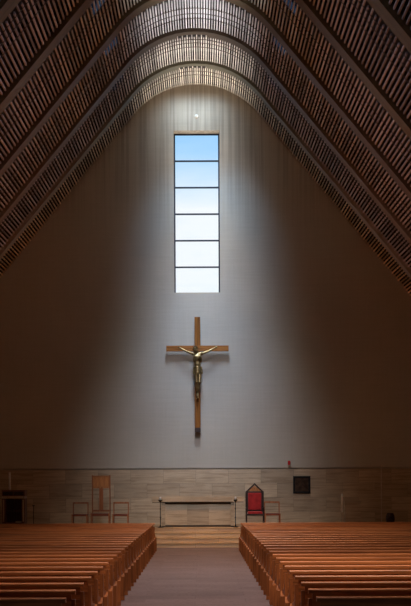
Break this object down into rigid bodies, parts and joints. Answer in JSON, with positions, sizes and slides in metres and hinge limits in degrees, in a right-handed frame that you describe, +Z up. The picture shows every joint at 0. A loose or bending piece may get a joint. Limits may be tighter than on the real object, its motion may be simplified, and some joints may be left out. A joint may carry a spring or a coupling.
{
  "type": "modern church nave and sanctuary section",
  "caption": "Nave and sanctuary end of a modern church, open at the near end: tall end wall, slatted timber vault on ribs, glazed ridge, steps, altar and pews.",
  "frame": {"origin": "middle of the underside of the floor slab, at the bottom centre of the bounding box", "axes": "+X across the nave to the right, +Y along the nave to the end wall, +Z up"},
  "size_m": [32.8568, 33.15, 17.9803],
  "materials": {
    "floor_paving": "honed grey-brown paving",
    "step_stone": "honed honey limestone",
    "wall_plaster": "matt rendered masonry",
    "dado_travertine": "coursed travertine",
    "window_metal": "dark satin",
    "clear_glass": "clear",
    "rib_timber": "laminated, satin",
    "slat_timber": "planed, matt",
    "side_concrete": "board-marked concrete",
    "roof_zinc": "weathered standing-seam zinc",
    "cross_oak": "oiled oak",
    "figure_bronze": "dark patina",
    "altar_stone": "honed",
    "black_iron": "matt black",
    "candle_wax": "wax",
    "chair_oak": "satin oak",
    "chair_dark_wood": "dark stained",
    "red_upholstery": "red cloth",
    "aumbry_bronze": "dark bronze",
    "lamp_red_glass": "red glass in a metal bracket",
    "cabinet_wood": "dark satin",
    "ambo_stone": "honed pale stone",
    "pole_metal": "brushed",
    "pot_glaze": "dark glaze",
    "pew_oak": "satin oak"
  },
  "bodies": {
    "root": {"nave_floor": "floor_paving", "sanctuary_steps": "step_stone", "end_wall": "wall_plaster", "stone_dado": "dado_travertine", "window_frame": "window_metal", "window_glass": "clear_glass", "ridge_glass": "clear_glass", "ridge_beam": "rib_timber", "vault_rib_1": "rib_timber", "vault_rib_2": "rib_timber", "vault_rib_3": "rib_timber", "vault_rib_4": "rib_timber", "vault_rib_5": "rib_timber", "vault_rib_6": "rib_timber", "vault_rib_7": "rib_timber", "slat_lining_1": "slat_timber", "slat_lining_2": "slat_timber", "slat_lining_3": "slat_timber", "slat_lining_4": "slat_timber", "slat_lining_5": "slat_timber", "slat_lining_6": "slat_timber", "slat_lining_7": "slat_timber", "side_wall_left": "side_concrete", "side_wall_right": "side_concrete", "roof_left": "roof_zinc", "roof_right": "roof_zinc", "wall_cross": "cross_oak", "cross_figure": "figure_bronze", "altar_top": "altar_stone", "altar_base": "altar_stone", "candlestick_left": "black_iron", "candlestick_right": "black_iron", "slim_stand": "black_iron", "altar_candle_left": "candle_wax", "altar_candle_right": "candle_wax", "easter_candle": "candle_wax", "cabinet_candle": "candle_wax", "side_chair_1": "chair_oak", "side_chair_2": "chair_oak", "side_chair_3": "chair_oak", "tall_chair": "chair_oak", "red_chair_frame": "chair_dark_wood", "red_chair_back_pad": "red_upholstery", "red_chair_seat_pad": "red_upholstery", "wall_aumbry": "aumbry_bronze", "sanctuary_lamp": "lamp_red_glass", "display_cabinet": "cabinet_wood", "ambo": "ambo_stone", "tall_pole": "pole_metal", "floor_pot": "pot_glaze", "pews_left_front": "pew_oak", "pews_left_back": "pew_oak", "pews_right_front": "pew_oak", "pews_right_back": "pew_oak"}
  },
  "joints": []
}
